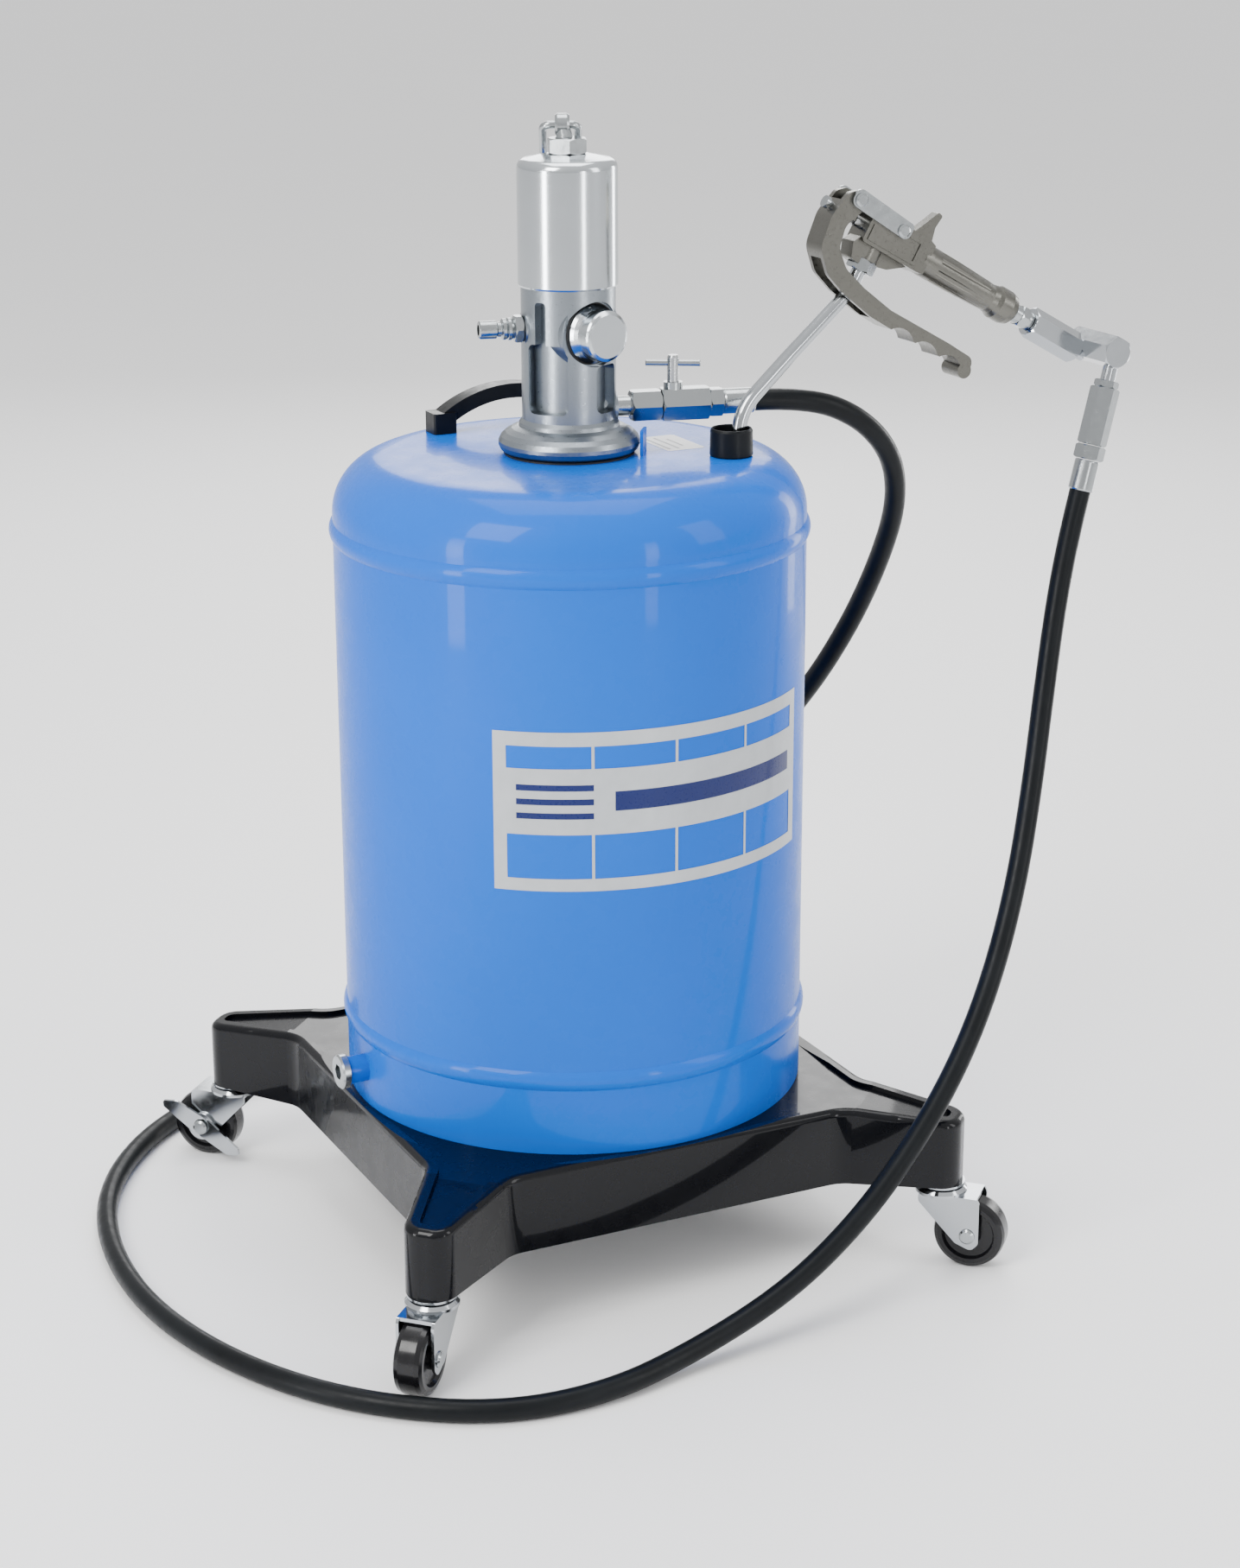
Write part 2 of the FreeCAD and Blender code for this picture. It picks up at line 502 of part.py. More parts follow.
def make_pump(nodes):
    spool_axis, plug_axis = polar(1, SPOOL_ANGLE), polar(1, PLUG_ANGLE)
    spool_at, plug_at = V(0, 0, SPOOL_Z), V(0, 0, PLUG_Z)
    nodes["flange_gasket"] = ring(44.0, 24.0, DRUM_TOP, DRUM_TOP + 1.2)
    flange = revolve([(0, 1.2), (43, 1.2), (46.2, 3.4), (47.5, 6.5), (47.5, 9), (46, 12.2), (43, 15),
                      (38.5, 17.4), (34.5, 19.0), (0, 19.0)])
    flange.translate(V(0, 0, DRUM_TOP))
    nodes["pump_flange"] = flange.cut(cyl(TUBE_R, DRUM_TOP, FLANGE_TOP + 1))
    nodes["pump_body"] = pump_body()
    nodes["air_cylinder"] = air_cylinder()
    cap = revolve([(0, 25.9), (19.6, 25.9), (19.6, 27.6), (18.4, 30), (17.2, 33.0), (16.9, 35),
                   (16.9, 41.2), (16.2, 42.5), (14.2, 43.4), (0, 43.4)]).cut(cyl(12.0, 24, 39))
    slots = [along(box(16.0, 20.0, -0.8, 0.8, 29.5, 34.5), V(0, 0, 0), V(0, 0, 1)) for _ in range(2)]
    slots[0].rotate(V(0, 0, 0), V(0, 0, 1), 128)
    slots[1].rotate(V(0, 0, 0), V(0, 0, 1), 104)
    nodes["valve_cap"] = along(cap.cut(slots[0]).cut(slots[1]), spool_at, spool_axis)
    nodes["valve_cap_oring"] = along(ring(20.6, 18.0, 25.0, 25.9), spool_at, spool_axis)
    spool = revolve([(0, 9.5), (7, 9.5), (7, 14), (4.5, 14), (4.5, 18), (7, 18), (7, 22), (4.5, 22),
                     (4.5, 26), (7, 26), (7, 30), (0, 30)])
    nodes["spool_valve"] = along(spool, spool_at, spool_axis)
    plug = revolve([(0, 22), (6, 22), (6, 31.6), (8.2, 31.6), (8.2, 37.2), (6.4, 38), (7.4, 39.5),
                    (7.4, 41.4), (6.4, 42), (7.0, 43), (7.0, 45), (4.9, 46.2), (4.9, 48.4), (6, 49.4),
                    (6, 60.2), (5.2, 61), (0, 61)]).cut(cyl(3.6, 20, 62))
    nodes["air_plug"] = along(plug.fuse(hexagon(17.0, 31.6, 37.0).cut(cyl(5, 20, 40))),
                              plug_at, plug_axis)
    nodes["eye_bolt"] = eye_bolt()
    nodes["lifting_ring"] = lifting_ring()
    floor = CYLINDER_Z + 5.4
    nodes["air_piston"] = ring(BORE_R - RUNNING, ROD_R, floor, floor + 14)
    rod_low = TUBE_BOTTOM + 65.0
    nodes["piston_rod"] = cyl(ROD_R, rod_low, floor + 14)
    nodes["pump_plunger"] = cyl(PLUNGER_R, rod_low - 28, rod_low)
    nodes["pump_tube"] = ring(TUBE_R, PLUNGER_R + RUNNING, TUBE_BOTTOM, FLANGE_TOP)
    foot = revolve([(0, -10), (14, -10), (TUBE_R, -8), (TUBE_R, 0), (PLUNGER_R, 0), (PLUNGER_R, 12),
                    (0, 12)]).cut(cyl(5.5, -12, 20)).cut(cyl(9.0, -4, 20))
    foot.translate(V(0, 0, TUBE_BOTTOM))
    nodes["foot_valve"] = foot
    nodes["foot_valve_ball"] = Part.makeSphere(7.5, V(0, 0, TUBE_BOTTOM - 4 + 5.4))


# ---- outlet and hose ----------------------------------------------------------------
def make_outlet(nodes):
    axis, at = polar(1, OUTLET_ANGLE), V(0, 0, OUTLET_Z)
    up = V(0, 0, 1)
    nipple = revolve([(0, 20), (6, 20), (6, 31.5), (6.7, 31.5), (6.7, 42), (6.0, 42), (6.0, 48),
                      (0, 48)]).cut(cyl(3.5, 19, 49))
    nodes["outlet_nipple"] = along(nipple, at, axis)
    nodes["outlet_union"] = along(hexagon(19.5, 42, 62.6).cut(cyl(6.0, 41, 63)), at, axis, up)
    body = hexagon(21.0, 63, 96, 0.8).fuse(cyl(8, 60, 98)).cut(cyl(4, 50, 99)).cut(cyl(7.5, 50, 62.8))
    body = along(body.cut(cyl(9, 50, 62.8)), at, axis, up)
    stem_at = at + axis * 71.5
    neck = cyl(6.4, OUTLET_Z + 8, OUTLET_Z + 15, stem_at.x, stem_at.y)
    body = body.fuse(neck)
    bore = cyl(4.0 + RUNNING, OUTLET_Z + 3, OUTLET_Z + 20, stem_at.x, stem_at.y)
    needle_bore = cyl(2.5 + RUNNING, OUTLET_Z - 3, OUTLET_Z + 5, stem_at.x, stem_at.y)
    nodes["valve_body"] = body.cut(bore).cut(needle_bore).removeSplitter()
    top = OUTLET_Z + 33.0
    nodes["valve_needle"] = cyl(2.5, OUTLET_Z - 2.5, OUTLET_Z + 7.0, stem_at.x, stem_at.y)
    stem = revolve([(0, 0), (4, 0), (4, 24.5), (3.2, 26), (0, 26)])
    stem.translate(V(stem_at.x, stem_at.y, top - 26.0))
    bar_turn = polar(1, 60.0)
    tee = revolve([(0, -18.5), (1.9, -18.5), (2.2, -18.0), (2.2, 18.0), (1.9, 18.5), (0, 18.5)])
    bar_at = V(stem_at.x, stem_at.y, top - 5.5)
    nodes["tee_bar"] = along(tee, bar_at, bar_turn)
    nodes["valve_stem"] = stem.cut(along(cyl(2.2, -9, 9), bar_at, bar_turn))
    outlet_nut = along(hexagon(18.0, 96.0, 105.6).cut(cyl(8, 95, 98)).cut(cyl(3, 95, 107)), at, axis, up)
    ferrule = revolve([(0, 0), (8.2, 0), (8.7, 1), (8.7, 20.4), (8.2, 21.5), (0, 21.5)]).cut(cyl(3, -1, 23))
    outlet_ferrule = along(ferrule, V(*HOSE_ROUTE[0]), V(*HOSE_ROUTE[0]) - V(*HOSE_ROUTE[1]))
    gun_end, gun_dir = V(*HOSE_ROUTE[-1]), (V(*HOSE_ROUTE[-1]) - V(*HOSE_ROUTE[-2])).normalize()
    hose_top = along(ferrule, gun_end, gun_dir)
    gun_nut = along(hexagon(18.5, 21.9, 32.0).cut(cyl(3, 20, 33)), gun_end, gun_dir, V(1, 0, 0))
    nodes["hose_nuts"] = Part.makeCompound([outlet_nut, gun_nut])
    nodes["hose_ferrules"] = Part.makeCompound([outlet_ferrule, hose_top])
    sleeve = hexagon(18.0, 32.4, 73.0).fuse(hexagon(15.0, 73.0, 78.0)).cut(cyl(3.5, 30, 80))
    nodes["hose_sleeve"] = along(sleeve.removeSplitter(), gun_end, gun_dir, V(1, 0, 0))
    wire, radii = swept_path([V(*p) for p in HOSE_ROUTE], 0.45)
    hose = tube_along(wire, HOSE_R)
    nodes["oil_hose"] = hose
    print("hose length %.0f, tightest %.0f, volume ratio %.4f" % (
        wire.Length, min(radii), hose.Volume / (math.pi * HOSE_R ** 2 * wire.Length)))
    print("hose radii", " ".join("%.0f" % r for r in radii))
    return gun_end, gun_dir


# ---- gun ------------------------------------------------------------------------------
PIVOT_U, PIVOT_V = -67.1, 11.6      # finger lever's pivot, in the gun's own axes
LINK_U, LINK_V = -27.4, 8.1         # the links' rivet through the gun's block
NOZZLE_U = -38.0


def gun_body():
    half = 10.5
    block = plate([(-52, 12.5), (-52, -11), (-4, -11), (2, -10.5), (2, 10.5), (-4, 12.5)],
                  [2, 2, 3, 1, 1, 3], -half, half)
    ribs = [box(-49, -8, s - 0.8, s + 0.8, v, v + 2.2) for s in (-half, half) for v in (-8.5, 6.5)]
    ribs += [box(u, u + 2.2, s - 0.8, s + 0.8, -8.5, 8.5) for s in (-half, half) for u in (-49, -10)]
    handle = revolve([(0, 0), (10.8, 0), (11.2, 6), (10.9, 30), (10.0, 58), (9.6, 64), (10.4, 68),
                      (11.8, 71), (11.8, 80), (10.6, 84.5), (8.0, 87), (0, 87)])
    handle = along(handle, V(-1, 0, 0), V(1, 0, 0))
    flutes = []
    for k in range(8):
        turn = 22.5 + 45 * k
        groove = along(cyl(2.4, 12, 58), V(0, 0, 0), V(1, 0, 0))
        groove.translate(V(0, 0, 12.2))
        groove.rotate(V(0, 0, 0), V(1, 0, 0), turn)
        flutes.append(groove)
    horn = plate([(-16, 10), (-9, 22), (-3.5, 32), (0.5, 31), (-1, 22), (2, 10)],
                 [0.6, 6, 1.6, 1.6, 5, 0.6], -4.0, 4.0)
    boss = along(cyl(8.6, 8, 20), V(NOZZLE_U, 0, 0), V(0, 0, -1))
    guard = plate([(-52, -8), (-56, -14), (-52, -24), (-44, -25), (-40, -8)], [1, 2, 3, 3, 1], -7.5, 7.5)
    web = plate([(-31, -9), (-31, -21), (-22, -19), (-6, -9)], [1, 2, 4, 1], -5.0, 5.0)
    body = block.multiFuse([handle, horn, boss, guard, web] + ribs).cut(Part.makeCompound(flutes))
    body = body.cut(along(cyl(10.3, 20, 32), V(NOZZLE_U, 0, 0), V(0, 0, -1)))
    body = body.cut(along(cyl(4.0 + RUNNING, -70, -30), V(0, 0, 0), V(1, 0, 0)))
    body = body.cut(along(cyl(5.0, 0, 30), V(NOZZLE_U, 0, 0), V(0, 0, -1)))
    body = body.cut(along(cyl(4.5, 60, 90), V(0, 0, 0), V(1, 0, 0)))
    for side in (half + 0.05, -half - 10.05):
        body = body.cut(box(-60, -20, side, side + 10, 2.4, 20))
    body = body.cut(along(cyl(3.0, -30, 30), V(LINK_U, 0, LINK_V), V(0, 1, 0)))
    return body.removeSplitter()


def gun_lever():
    """The cast finger lever: a curved strap, a slot for the nozzle and a finger-notched grip."""
    w = GUN_WIDE / 2
    outer = [(-71, 16.5), (-76.5, 12), (-81, -6), (-78, -29), (-64, -42), (-47, -47.5), (-20, -52),
             (-2, -52.5), (56, -52.5), (69.5, -53), (69, -42.5), (55, -42), (46, -41.5), (-8, -41.5),
             (-34, -37.5), (-53, -32.5), (-65, -23), (-68, -8), (-62, 4), (-60.5, 16.5)]
    radii = [3.5, 6, 18, 14, 12, 20, 20, 8, 3, 3, 6, 6, 30, 20, 20, 12, 10, 10, 6, 3]
    lever = plate(outer, radii, -w, w)
    notch_r = 13.5
    for u in (9.0, 31.0, 53.0):
        lever = lever.cut(along(cyl(notch_r, -20, 20), V(u, 0, -52.5 - notch_r + 4.6), V(0, 1, 0)))
    hook = along(cyl(5.4, -w, w), V(66.0, 0, -52.5), V(0, 1, 0))
    lever = lever.fuse(hook)
    lever = lever.cut(box(-72.5, -18, -6.8, 6.8, -62, -4))
    pad = box(-66, -60.2, -5, 5, -1.5, 6.0)
    lever = lever.fuse(pad)
    cheek_gap = box(-100, -50, -6.0, 6.0, 6.2, 30)
    lever = lever.cut(cheek_gap)
    pivot = along(cyl(3.0 + RUNNING, -30, 30), V(PIVOT_U, 0, PIVOT_V), V(0, 1, 0))
    screw = along(cyl(2.5, -6, 20), V(-84, 0, 0.6), V(1, 0, 0))
    return lever.cut(pivot).cut(screw).removeSplitter()


def make_gun(nodes, hose_end, hose_dir):
    nodes["gun_body"] = gun_frame(gun_body())
    nodes["gun_lever"] = gun_frame(gun_lever())
    screw = revolve([(0, 0), (4.2, 0), (4.2, 3.0), (2.5, 3.0), (2.5, 10.5), (0, 10.5)])
    nodes["lever_screw"] = gun_frame(along(screw, V(-85.2, 0, 0.6), V(1, 0, 0)))
    w = GUN_WIDE / 2
    outline = [(PIVOT_U - 6, PIVOT_V - 5.5), (-21, 3.0), (-21, 14.8), (PIVOT_U - 6, PIVOT_V + 7)]
    links = []
    for y in (-w - 2.3, w + 0.3):
        link = plate(outline, [5, 5, 3, 5], y, y + 2.0)
        for u, v, r in ((PIVOT_U, PIVOT_V, 3.0), (LINK_U, LINK_V, 3.0)):
            link = link.cut(along(cyl(r, -30, 30), V(u, 0, v), V(0, 1, 0)))
        links.append(gun_frame(link))
    nodes["link_plates"] = Part.makeCompound(links)
    pins = []
    for u, v in ((PIVOT_U, PIVOT_V), (LINK_U, LINK_V)):
        end = w + 2.3
        pin = revolve([(0, -end - 2.0), (3.2, -end - 2.0), (4.6, -end - 0.9), (4.6, -end), (3, -end),
                       (3, end), (4.6, end), (4.6, end + 0.9), (3.2, end + 2.0), (0, end + 2.0)])
        pins.append(gun_frame(along(pin, V(u, 0, v), V(0, 1, 0))))
    nodes["link_pins"] = Part.makeCompound(pins)
    pin = revolve([(0, -59.6), (3.0, -59.6), (4.0, -58.8), (4.0, -36.0), (0, -36.0)])
    nodes["gun_valve_pin"] = gun_frame(along(pin, V(0, 0, 0), V(1, 0, 0)))
    nodes["nozzle_nut"] = gun_frame(along(hexagon(17.0, 20.0, 28.4).cut(cyl(5.0, 19, 32)),
                                          V(NOZZLE_U, 0, 0), V(0, 0, -1), V(1, 0, 0)))
    nodes["nozzle_tube"] = nozzle_tube()
    nipple = revolve([(0, 66), (4.5, 66), (4.5, 86), (6.6, 86), (6.6, 102.4), (5.0, 102.4), (5.0, 108),
                      (0, 108)]).cut(cyl(3, 60, 112))
    nodes["gun_nipple"] = gun_frame(along(nipple.fuse(hexagon(14, 92.0, 98.5).cut(cyl(5, 80, 100))),
                                          V(0, 0, 0), V(1, 0, 0)))
    first = hexagon(19.5, 102.8, 147.0).cut(cyl(5.0, 90, 109)).cut(cyl(3.0, 90, 155))
    nodes["swivel_first"] = gun_frame(along(first, V(0, 0, 0), V(1, 0, 0), V(0, 1, 0)))
    neck_top = hose_end + hose_dir * 78.0
    second_at = V(neck_top.x - 0.5, HOLDER_Y + 11.5, neck_top.z + 21.0)
    second = along(hexagon(20.0, 0, 50.0), second_at, V(0, -1, 0), V(1, 0, 0))
    first_end = gun_point(147.0, 0)
    second = second.fuse(Part.makeCylinder(6.0, 8.0, first_end, gun_point(160, 0) - first_end))
    neck = along(cyl(5.2, 78.0, 94.0), hose_end, hose_dir)
    nodes["swivel_second"] = second.fuse(neck).cut(nodes["swivel_first"]).removeSplitter()


def nozzle_tube():
    """A bent steel tube from the gun's boss down into the holder."""
    rim = V(HOLDER_X + 4.0, HOLDER_Y, DRUM_TOP + 5.0)
    mouth = V(HOLDER_X + 8.0, HOLDER_Y, DRUM_TOP + 31.0)
    bend = V(HOLDER_X + 44.0, HOLDER_Y, DECK_Z + 506.0)
    upper, top = gun_point(NOZZLE_U, -44.0), gun_point(NOZZLE_U, -12.0)
    points = [rim, mouth, bend, upper, top]
    edges, place = [], points[0]
    for i in range(1, 4):
        turn = (points[i] - points[i - 1]).getAngle(points[i + 1] - points[i])
        room = min((points[i] - points[i - 1]).Length, (points[i + 1] - points[i]).Length)
        radius = min(60.0, 0.45 * room / math.tan(turn / 2))
        start, middle, end = corner(points[i - 1], points[i], points[i + 1], radius)
        edges += [Part.LineSegment(place, start).toShape(), Part.Arc(start, middle, end).toShape()]
        place = end
    edges.append(Part.LineSegment(place, points[-1]).toShape())
    wire = Part.Wire(edges)
    return tube_along(wire, 5.0).cut(tube_along(wire, 3.5))


def main():
    nodes = {}
    make_base(nodes)
    make_drum(nodes)
    make_pump(nodes)
    hose_end, hose_dir = make_outlet(nodes)
    make_gun(nodes, hose_end, hose_dir)
    os.makedirs("parts", exist_ok=True)
    for name, shape in nodes.items():
        solids = shape.Solids
        if not shape.isValid() or not solids or any(s.Volume <= 0 for s in solids):
            print("CHECK", name, shape.isValid(), [round(s.Volume, 1) for s in solids])
        shape = solids[0] if len(solids) == 1 else Part.makeCompound(solids)
        shape.exportStep("parts/%s.step" % name)
    print(len(nodes), "nodes")


main()
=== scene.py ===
"""Looks for the air-driven oil dispenser: camera, hose, materials, prints, floor and light.

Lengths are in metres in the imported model's frame. The hose's route has the same points as in the
part's own source.
"""
import bpy
import bmesh
import json
import math
from mathutils import Matrix, Vector


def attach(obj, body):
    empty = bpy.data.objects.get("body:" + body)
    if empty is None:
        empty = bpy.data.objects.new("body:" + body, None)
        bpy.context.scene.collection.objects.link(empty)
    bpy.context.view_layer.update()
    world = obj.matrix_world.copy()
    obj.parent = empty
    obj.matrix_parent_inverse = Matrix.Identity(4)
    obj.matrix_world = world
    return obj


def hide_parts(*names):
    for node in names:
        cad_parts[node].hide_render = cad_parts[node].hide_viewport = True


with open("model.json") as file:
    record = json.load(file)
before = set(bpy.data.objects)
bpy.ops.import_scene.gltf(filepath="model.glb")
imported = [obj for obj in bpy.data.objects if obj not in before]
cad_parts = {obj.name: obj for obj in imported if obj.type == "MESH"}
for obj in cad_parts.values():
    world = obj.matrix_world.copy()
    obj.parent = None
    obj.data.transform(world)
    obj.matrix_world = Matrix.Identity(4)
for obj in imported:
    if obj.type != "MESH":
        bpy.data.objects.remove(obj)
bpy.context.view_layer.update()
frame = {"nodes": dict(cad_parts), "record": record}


def shown(name, data):
    """A new object for the data, linked to the scene."""
    thing = bpy.data.objects.new(name, data)
    bpy.context.scene.collection.objects.link(thing)
    return thing


def aim(thing, direction):
    """Turns an object so that it looks along the direction."""
    thing.rotation_mode = "QUATERNION"
    thing.rotation_quaternion = direction.to_track_quat("-Z", "Y")


# ---- camera ---------------------------------------------------------------------------------
LENS, SENSOR = 70.95, 36.0
CAMERA_PLACE = (-0.8634, -1.8515, 0.9791)
CAMERA_FORWARD = Vector((0.4162, 0.8558, -0.3073)).normalized()
CAMERA_ROLL = -0.003      # radians

data = bpy.data.cameras.new("camera")
data.lens = LENS
data.sensor_width = SENSOR
data.sensor_fit = "AUTO"
data.clip_start = 0.05
data.clip_end = 50.0
camera = shown("camera", data)
aim(camera, CAMERA_FORWARD)
camera.rotation_quaternion = camera.rotation_quaternion @ Matrix.Rotation(CAMERA_ROLL, 4, "Z").to_quaternion()
camera.location = CAMERA_PLACE
bpy.context.scene.camera = camera


# ---- hose -----------------------------------------------------------------------------------
HOSE_LENGTH, HOSE_DIAMETER = 2.501, 0.015
HOSE_ROUTE = (
    (0.1242, -0.0287, 0.5835), (0.162, -0.0374, 0.5835), (0.204, -0.037, 0.566), (0.236, -0.027, 0.535),
    (0.252, -0.008, 0.495), (0.254, 0.018, 0.447), (0.247, 0.046, 0.394), (0.233, 0.08, 0.338),
    (0.211, 0.122, 0.282), (0.18, 0.17, 0.222), (0.138, 0.22, 0.156), (0.09, 0.264, 0.092),
    (0.034, 0.296, 0.036), (-0.038, 0.312, 0.0076), (-0.118, 0.306, 0.0076), (-0.194, 0.276, 0.0076),
    (-0.26, 0.222, 0.0076), (-0.308, 0.146, 0.0076), (-0.331, 0.057, 0.0076), (-0.332, -0.04, 0.0076),
    (-0.306, -0.134, 0.0076), (-0.257, -0.213, 0.0076), (-0.184, -0.267, 0.0076), (-0.108, -0.275, 0.0076),
    (-0.035, -0.257, 0.012), (0.04, -0.246, 0.033), (0.1, -0.234, 0.066), (0.148, -0.222, 0.106),
    (0.192, -0.206, 0.15), (0.23, -0.185, 0.198), (0.263, -0.161, 0.254), (0.289, -0.137, 0.314),
    (0.31, -0.116, 0.376), (0.327, -0.101, 0.432), (0.3413, -0.092, 0.477), (0.351, -0.09, 0.5105),
)

# The bevel is 1 m deep and each point's radius scales it down to the hose's own radius. Points
# with the usual radius of 1 would make the curve's bounding box a metre too large each way.
curve = bpy.data.curves.new("hose", "CURVE")
curve.dimensions = "3D"
curve.bevel_depth = 1.0
curve.bevel_resolution = 8
curve.resolution_u = 8
curve.use_fill_caps = True
spline = curve.splines.new("NURBS")
spline.points.add(len(HOSE_ROUTE) - 1)
for point, place in zip(spline.points, HOSE_ROUTE):
    point.co = (*place, 1.0)
    point.radius = HOSE_DIAMETER / 2
spline.order_u = 3
spline.use_endpoint_u = True
hose = shown("hose", curve)
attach(hose, "base")
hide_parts("oil_hose")


# ---- materials ------------------------------------------------------------------------------
def fill_ramp(node, stops):
    """Gives a colour ramp these places and colours, from low to high."""
    elements = node.color_ramp.elements
    while len(elements) < len(stops):
        elements.new(0.5)
    for element, (place, colour) in zip(elements, stops):
        element.position = place
        element.color = (*colour, 1.0)


class Shader:
    """One Principled material whose colour, roughness and bump come from nodes in object space."""

    def __init__(self, name, **sockets):
        self.material = bpy.data.materials.new(name)
        self.material.use_nodes = True
        self.tree = self.material.node_tree
        self.bsdf = self.tree.nodes["Principled BSDF"]
        self.coords = self.tree.nodes.new("ShaderNodeTexCoord").outputs["Object"]
        for key, value in sockets.items():
            self.bsdf.inputs[key.replace("_", " ")].default_value = value

    def link(self, a, b):
        self.tree.links.new(a, b)

    def stretched(self, scale):
        """The coordinates scaled along each axis, for a grain that runs one way."""
        node = self.tree.nodes.new("ShaderNodeMapping")
        node.inputs["Scale"].default_value = scale
        self.link(self.coords, node.inputs["Vector"])
        return node.outputs["Vector"]

    def noise(self, scale, detail=3.0, vector=None, rough=0.55):
        node = self.tree.nodes.new("ShaderNodeTexNoise")
        node.inputs["Scale"].default_value = scale
        node.inputs["Detail"].default_value = detail
        node.inputs["Roughness"].default_value = rough
        self.link(vector or self.coords, node.inputs["Vector"])
        return node.outputs["Fac"]

    def tones(self, factor, stops):
        """Links a colour ramp driven by the factor to the base colour."""
        node = self.tree.nodes.new("ShaderNodeValToRGB")
        fill_ramp(node, stops)
        self.link(factor, node.inputs["Fac"])
        self.link(node.outputs["Color"], self.bsdf.inputs["Base Color"])

    def roughness(self, factor, low, high):
        """Links a roughness between low and high, for the middle of the factor's range."""
        node = self.tree.nodes.new("ShaderNodeMapRange")
        for key, value in (("From Min", 0.3), ("From Max", 0.7), ("To Min", low), ("To Max", high)):
            node.inputs[key].default_value = value
        self.link(factor, node.inputs["Value"])
        self.link(node.outputs["Result"], self.bsdf.inputs["Roughness"])

    def bump(self, height, strength, distance):
        """Adds a bump on top of the bumps that are already there."""
        node = self.tree.nodes.new("ShaderNodeBump")
        node.inputs["Strength"].default_value = strength
        node.inputs["Distance"].default_value = distance
        last = self.bsdf.inputs["Normal"].links
        if last:
            self.link(last[0].from_socket, node.inputs["Normal"])
        self.link(height, node.inputs["Height"])
        self.link(node.outputs["Normal"], self.bsdf.inputs["Normal"])


def shade(colour, factor):
    return tuple(min(1.0, c * factor) for c in colour)


def enamel(name, colour, peel, waves, coat_rough, coat, specular):
    """Glossy stoved paint: a coat over colour, with orange peel and slow waves of the sheet."""
    s = Shader(name, Coat_Weight=coat, Coat_Roughness=coat_rough, Coat_IOR=1.5,
               Specular_IOR_Level=specular)
    s.tones(s.noise(5.0, 2.0), ((0.3, shade(colour, 0.94)), (0.7, shade(colour, 1.05))))
    s.roughness(s.noise(60.0, 4.0), 0.22, 0.34)
    s.bump(s.noise(420.0, 2.0), peel, 0.0002)
    s.bump(s.noise(14.0, 1.5), waves, 0.002)
    return s.material


def bare_metal(name, colour, rough, grain, strength, spread, stretch=None):
    """Metal with a fine grain, a slow change of tone and patches that are duller."""
    spots = 0.06
    s = Shader(name, Metallic=1.0)
    s.tones(s.noise(22.0, 5.0), ((0.25, shade(colour, 1 - spots)), (0.75, shade(colour, 1 + spots))))
    fine = s.noise(grain, 4.0, s.stretched(stretch) if stretch else None, 0.65)
    s.roughness(fine, rough - spread / 2, rough + spread / 2)
    s.bump(fine, strength, 0.0003)
    return s.material


def moulded(name, colour, rough, grain, strength, coat=0.0, specular=0.3):
    """Rubber or plastic with a fine moulded grain."""
    s = Shader(name, Coat_Weight=coat, Coat_Roughness=0.12, Specular_IOR_Level=specular)
    s.tones(s.noise(30.0, 4.0), ((0.3, shade(colour, 0.8)), (0.7, shade(colour, 1.3))))
    s.roughness(s.noise(180.0, 3.0), rough - 0.06, rough + 0.08)
    s.bump(s.noise(grain, 3.0), strength, 0.0003)
    return s.material


def print_ink(name, colour, metallic, rough):
    """A printed film: nearly even colour under a thin clear layer."""
    s = Shader(name, Metallic=metallic, Coat_Weight=0.15, Coat_Roughness=0.08, Specular_IOR_Level=0.2)
    s.tones(s.noise(90.0, 4.0), ((0.3, shade(colour, 0.95)), (0.7, shade(colour, 1.04))))
    s.roughness(s.noise(500.0, 2.0), rough - 0.05, rough + 0.05)
    s.bump(s.noise(420.0, 2.0), 0.04, 0.0002)
    return s.material


def floor_paint(colour):
    s = Shader("floor_paint", Roughness=0.6)
    s.tones(s.noise(1.5, 2.0), ((0.3, shade(colour, 0.99)), (0.7, colour)))
    return s.material


BLACK, BLUE = (0.0015, 0.0018, 0.003), (0.0, 0.100, 0.520)
LATHE_LINES, GRINDING_LINES = (1, 1, 60), (1, 1, 18)

